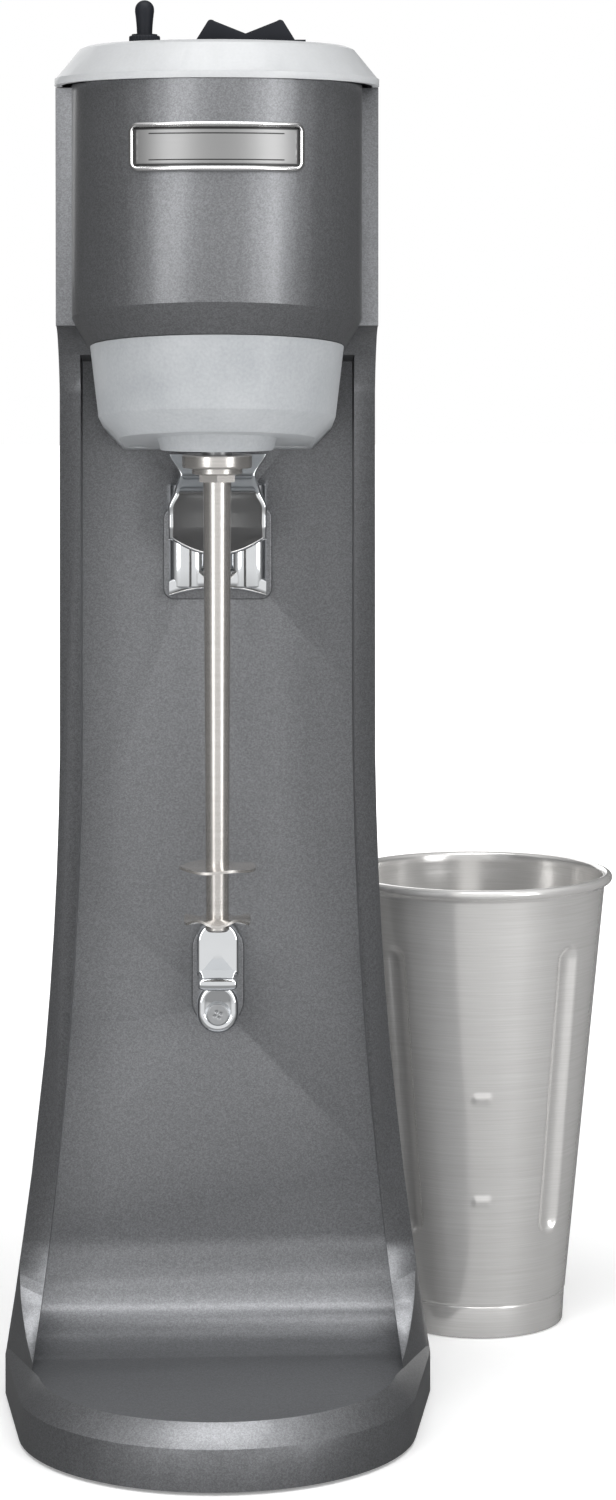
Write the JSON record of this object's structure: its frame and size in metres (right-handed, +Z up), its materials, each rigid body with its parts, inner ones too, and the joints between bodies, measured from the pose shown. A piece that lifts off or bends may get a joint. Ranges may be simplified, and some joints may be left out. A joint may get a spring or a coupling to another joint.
{
  "type": "milkshake mixer",
  "caption": "Single-spindle bar milkshake mixer: metallic column with a motor head, agitator spindle, chrome cup guide and rest, top switches, and a loose steel cup.",
  "frame": {"origin": "on the table under the spindle's axis", "axes": "+Z up along the spindle, -Y to the front, +X to the viewer's right"},
  "size_m": [0.2409, 0.2836, 0.5232],
  "materials": {
    "graphite_paint": "satin metallic",
    "light_plastic": "semi-gloss",
    "grey_plastic": "satin",
    "black_plastic": "matte",
    "rubber_black": "matte",
    "chrome_cast": "polished",
    "steel_polished": "polished",
    "steel_brushed": "brushed",
    "steel_plain": "plated",
    "silver_plate": "brushed",
    "aluminium_plain": "cast",
    "copper_wire": "enamelled",
    "carbon": "matte",
    "board_green": "matte"
  },
  "bodies": {
    "mixer": {"housing": "graphite_paint", "base_plate": "steel_plain", "rubber_foot_ring": "rubber_black", "base_screws": "steel_plain", "rear_cover": "grey_plastic", "rear_cover_screws": "steel_plain", "cord_gland": "black_plastic", "gland_nut": "black_plastic", "top_cap": "light_plastic", "nameplate": "silver_plate", "toggle_switch_body": "black_plastic", "toggle_ring_nut": "black_plastic", "toggle_pin": "steel_plain", "rocker_pin": "steel_plain", "rocker_switch_body": "black_plastic", "motor_shroud": "grey_plastic", "shroud_screws": "steel_plain", "lower_motor_bracket": "aluminium_plain", "lower_bearing": "steel_plain", "motor_grommets": "rubber_black", "motor_mount_screws": "steel_plain", "stator_core": "steel_plain", "field_coils": "copper_wire", "upper_motor_bracket": "aluminium_plain", "upper_bearing": "steel_plain", "motor_bolts": "steel_plain", "brush_holders": "aluminium_plain", "carbon_brushes": "carbon", "brush_springs": "steel_plain", "cup_guide": "chrome_cast", "guide_gasket": "grey_plastic", "guide_screws": "steel_plain", "lever_pin": "steel_plain", "microswitch": "black_plastic", "rest_escutcheon": "chrome_cast", "cup_rest": "chrome_cast", "cup_rest_screw": "steel_plain", "rest_nut": "steel_plain", "board_standoffs": "aluminium_plain", "speed_board": "board_green", "board_screws": "steel_plain", "board_heat_sink": "aluminium_plain"},
    "spindle_drive": {"motor_shaft": "steel_plain", "rotor_core": "steel_plain", "rotor_windings": "copper_wire", "commutator": "copper_wire", "cooling_fan": "black_plastic", "spindle_collar": "steel_polished", "spindle_hex": "steel_polished", "spindle": "steel_polished", "upper_agitator": "steel_polished", "lower_agitator": "steel_polished", "agitator_nut": "steel_polished"},
    "toggle": {"toggle_lever": "black_plastic"},
    "rocker": {"rocker_switch": "black_plastic"},
    "cup_lever": {"cup_switch_lever": "steel_plain"},
    "plunger": {"switch_plunger": "black_plastic"},
    "loose_cup": {"cup": "steel_brushed"}
  },
  "joints": [
    {"name": "spindle_spin", "type": "hinge", "parent": "mixer", "child": "spindle_drive", "pos_m": [0, 0, 0.4], "axis": [0, 0, 1], "continuous": true},
    {"name": "toggle_tilt", "type": "hinge", "parent": "mixer", "child": "toggle", "pos_m": [-0.026, -0.008, 0.5065], "axis": [0, 1, 0], "range_deg": [-11, 11]},
    {"name": "rocker_tilt", "type": "hinge", "parent": "mixer", "child": "rocker", "pos_m": [0.0103, -0.008, 0.5054], "axis": [0, 1, 0], "range_deg": [-9, 9]},
    {"name": "cup_lever_swing", "type": "hinge", "parent": "mixer", "child": "cup_lever", "pos_m": [0, 0.0555, 0.341], "axis": [1, 0, 0], "range_deg": [0, 7], "stiffness_Nm_per_rad": 0.02, "springref_deg": -5.73},
    {"name": "plunger_slide", "type": "slide", "parent": "mixer", "child": "plunger", "axis": [0, 1, 0], "range_m": [0, 0.0022]},
    {"name": "cup_lift", "type": "slide", "parent": "mixer", "child": "loose_cup", "axis": [0, 0, 1], "range_m": [0, 0.2]}
  ],
  "couplings": [
    {"joint": "plunger_slide", "follows": "cup_lever_swing", "m_per_rad": 0.0166}
  ]
}
